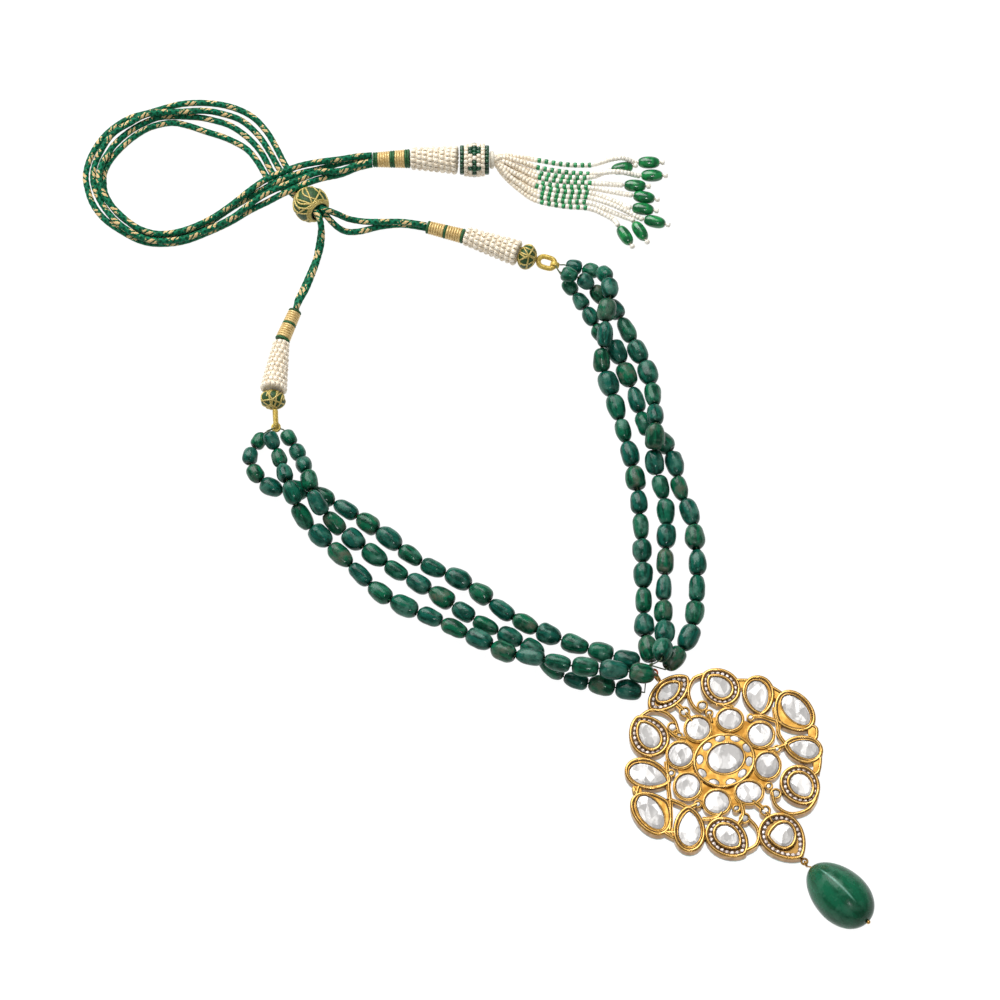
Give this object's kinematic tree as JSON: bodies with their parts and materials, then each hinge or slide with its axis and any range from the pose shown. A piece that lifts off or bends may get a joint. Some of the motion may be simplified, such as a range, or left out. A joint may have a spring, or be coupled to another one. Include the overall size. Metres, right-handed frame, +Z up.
{
  "type": "multi-strand bead necklace",
  "caption": "Multi-strand emerald bead necklace with a pierced gold pendant, an emerald drop, braided cords, a slider and a seed-bead tassel, lying flat.",
  "frame": {"origin": "middle of the pendant's back, on the surface the necklace lies on", "axes": "+Z up from the surface, +Y from the drop towards the tassel and the neck cords, +X to the picture's right"},
  "size_m": [0.2604, 0.2951, 0.0178],
  "materials": {
    "gold": "polished",
    "enamel": "gloss",
    "diamond": "polished",
    "emerald": "polished",
    "silk": "matte",
    "orange_silk": "matte",
    "netted_silk": "satin",
    "metal_thread": "satin",
    "cord": "satin",
    "seed_beads": "gloss",
    "green_bead": "gloss"
  },
  "bodies": {
    "root": {"pendant_frame": "gold", "pendant_enamel": "enamel", "stone_centre": "diamond", "stones_halo": "diamond", "stones_accent": "diamond", "stone_mid_1": "diamond", "stone_mid_2": "diamond", "stone_mid_3": "diamond", "stone_mid_4": "diamond", "stone_mid_5": "diamond", "stone_mid_6": "diamond", "stone_mid_7": "diamond", "stone_mid_8": "diamond", "stone_outer_1": "diamond", "stone_outer_2": "diamond", "stone_outer_3": "diamond", "stone_outer_4": "diamond", "stone_outer_5": "diamond", "stone_outer_6": "diamond", "stone_outer_7": "diamond", "stone_outer_8": "diamond", "stone_outer_9": "diamond", "stone_outer_10": "diamond", "stone_outer_11": "diamond", "stone_outer_12": "diamond", "drop_pin": "gold", "drop_bead": "emerald", "strand_left_upper": "emerald", "strand_left_middle": "emerald", "strand_left_lower": "emerald", "strand_right_inner": "emerald", "strand_right_middle": "emerald", "strand_right_outer": "emerald", "threads": "silk", "tie_thread": "orange_silk", "loop_left": "gold", "loop_right": "gold", "knob_left": "netted_silk", "knob_right": "netted_silk", "cone_left": "seed_beads", "cone_right": "seed_beads", "wrap_left": "metal_thread", "wrap_right": "metal_thread", "cord_1": "cord", "cord_2": "cord", "cord_3": "cord", "cord_4": "cord", "slider": "netted_silk", "tassel_wrap": "metal_thread", "tassel_cone": "seed_beads", "tassel_barrel": "seed_beads", "tassel_strands": "seed_beads", "tassel_ovals": "green_bead"}
  },
  "joints": []
}
